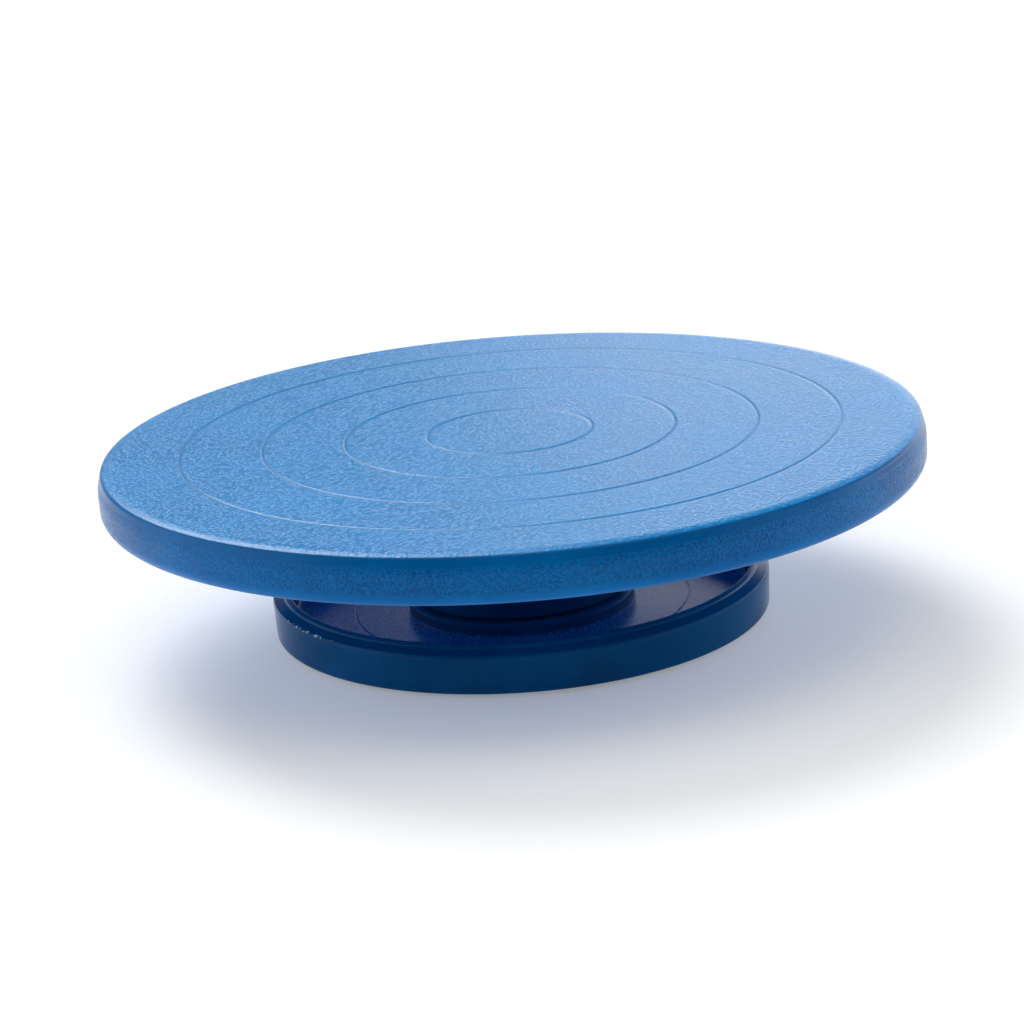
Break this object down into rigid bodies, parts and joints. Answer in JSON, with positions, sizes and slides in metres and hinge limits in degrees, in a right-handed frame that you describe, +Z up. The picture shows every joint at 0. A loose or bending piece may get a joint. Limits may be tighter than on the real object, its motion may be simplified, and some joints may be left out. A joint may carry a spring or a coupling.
{
  "type": "sculpting turntable",
  "caption": "Low bench turntable: a flat round ring-marked metal head that spins freely on a ball-bearing spindle above a small dished base with rubber pads.",
  "frame": {"origin": "centre of the circle through the rubber feet, on the surface that they stand on", "axes": "+Z up along the spin axis; the object is round, so +Y is only the direction of the back"},
  "size_m": [0.3, 0.3, 0.07],
  "materials": {
    "head_paint": "satin",
    "base_paint": "gloss",
    "ground_steel": "satin",
    "bearing_steel": "polished",
    "zinc_steel": "satin",
    "black_screw": "satin",
    "cage_polymer": "matte",
    "foot_rubber": "matte"
  },
  "bodies": {
    "base": {"base_dish": "base_paint", "bearing_housing": "base_paint", "housing_screws": "black_screw", "bottom_cover": "base_paint", "cover_screws": "black_screw", "upper_outer_race": "bearing_steel", "lower_outer_race": "bearing_steel", "upper_shields": "zinc_steel", "lower_shields": "zinc_steel", "rubber_foot_1": "foot_rubber", "rubber_foot_2": "foot_rubber", "rubber_foot_3": "foot_rubber", "rubber_foot_4": "foot_rubber"},
    "head": {"wheel_head": "head_paint", "dust_skirt": "base_paint", "spindle": "ground_steel", "spindle_screws": "black_screw", "upper_inner_race": "bearing_steel", "race_spacer": "ground_steel", "lower_inner_race": "bearing_steel", "lock_washer": "zinc_steel", "spindle_locknut": "zinc_steel"},
    "upper_ball_set": {"upper_cage": "cage_polymer", "upper_balls": "bearing_steel"},
    "lower_ball_set": {"lower_cage": "cage_polymer", "lower_balls": "bearing_steel"}
  },
  "joints": [
    {"name": "head_spin", "type": "hinge", "parent": "base", "child": "head", "pos_m": [0, 0, 0.06], "axis": [0, 0, 1], "continuous": true},
    {"name": "upper_ball_set_spin", "type": "hinge", "parent": "base", "child": "upper_ball_set", "pos_m": [0, 0, 0.042], "axis": [0, 0, 1], "continuous": true},
    {"name": "lower_ball_set_spin", "type": "hinge", "parent": "base", "child": "lower_ball_set", "pos_m": [0, 0, 0.02], "axis": [0, 0, 1], "continuous": true}
  ],
  "couplings": [
    {"joint": "upper_ball_set_spin", "follows": "head_spin", "ratio": 0.3815},
    {"joint": "lower_ball_set_spin", "follows": "head_spin", "ratio": 0.3815}
  ]
}
